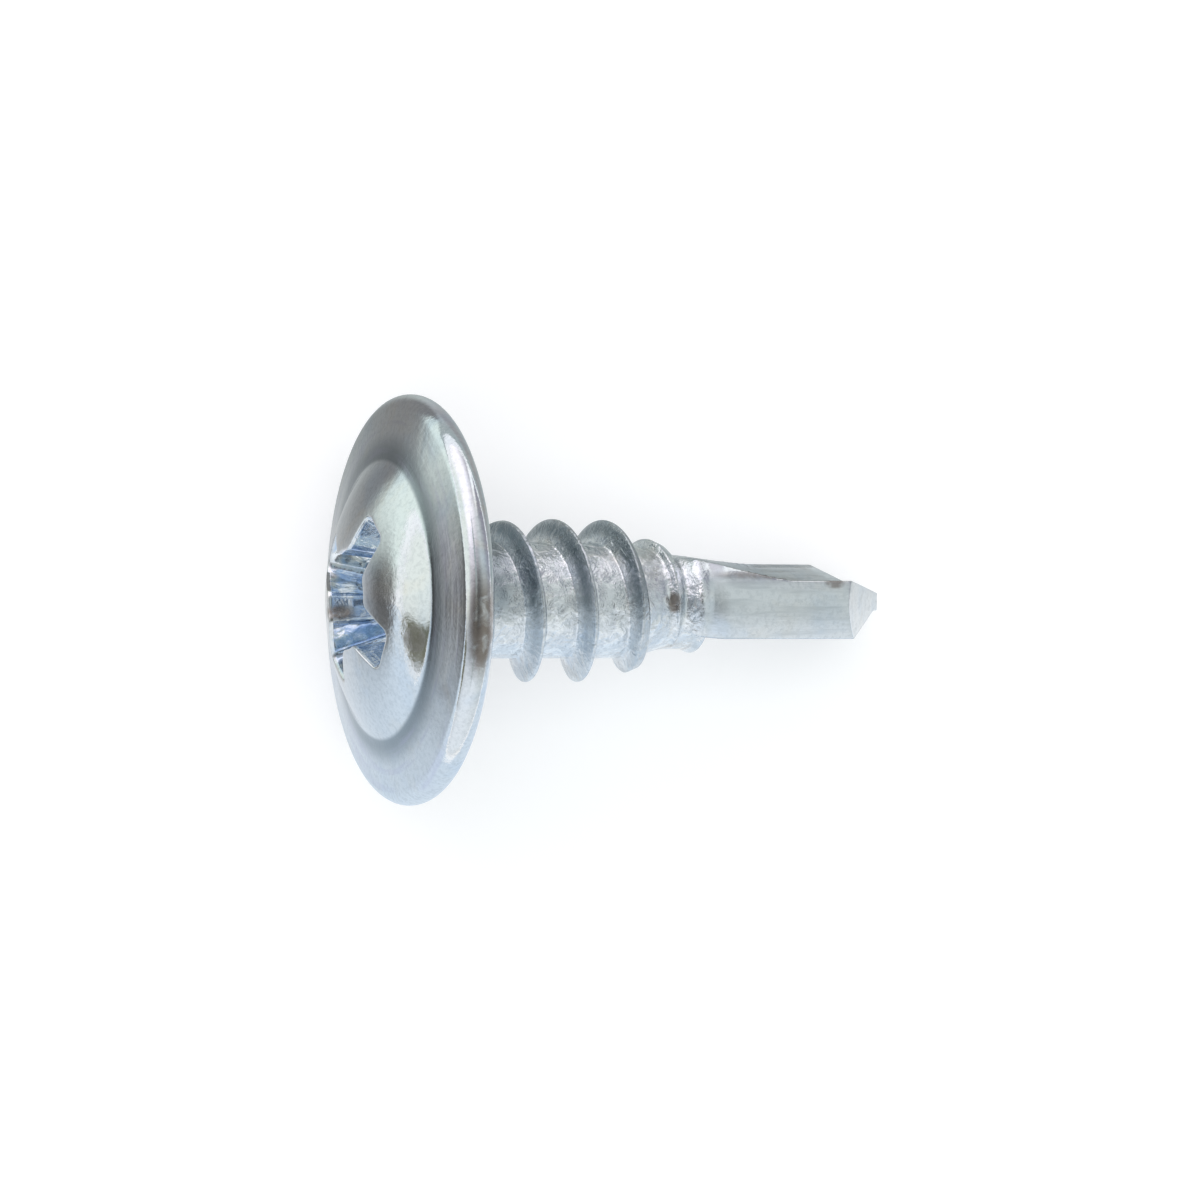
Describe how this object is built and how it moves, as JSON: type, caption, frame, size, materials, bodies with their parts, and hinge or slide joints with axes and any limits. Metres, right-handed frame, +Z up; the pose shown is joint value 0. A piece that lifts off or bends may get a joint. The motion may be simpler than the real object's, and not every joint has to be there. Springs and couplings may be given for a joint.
{
  "type": "self drilling screw",
  "caption": "Short self drilling screw: wide low head with a domed middle and cross recess, coarse thread and a pinched drill point. It lies on its rim and point.",
  "frame": {"origin": "middle of the footprint, on the bench that the screw lies on", "axes": "+X from the head towards the drill point along the bench, +Y across, +Z up; the screw's own axis falls 17 degrees towards +X"},
  "size_m": [0.0144, 0.0102, 0.0098],
  "materials": {
    "bright_zinc": "bright zinc plate with a faint blue passivation, slightly uneven"
  },
  "bodies": {
    "root": {"self_drilling_screw": "bright_zinc"}
  },
  "joints": []
}
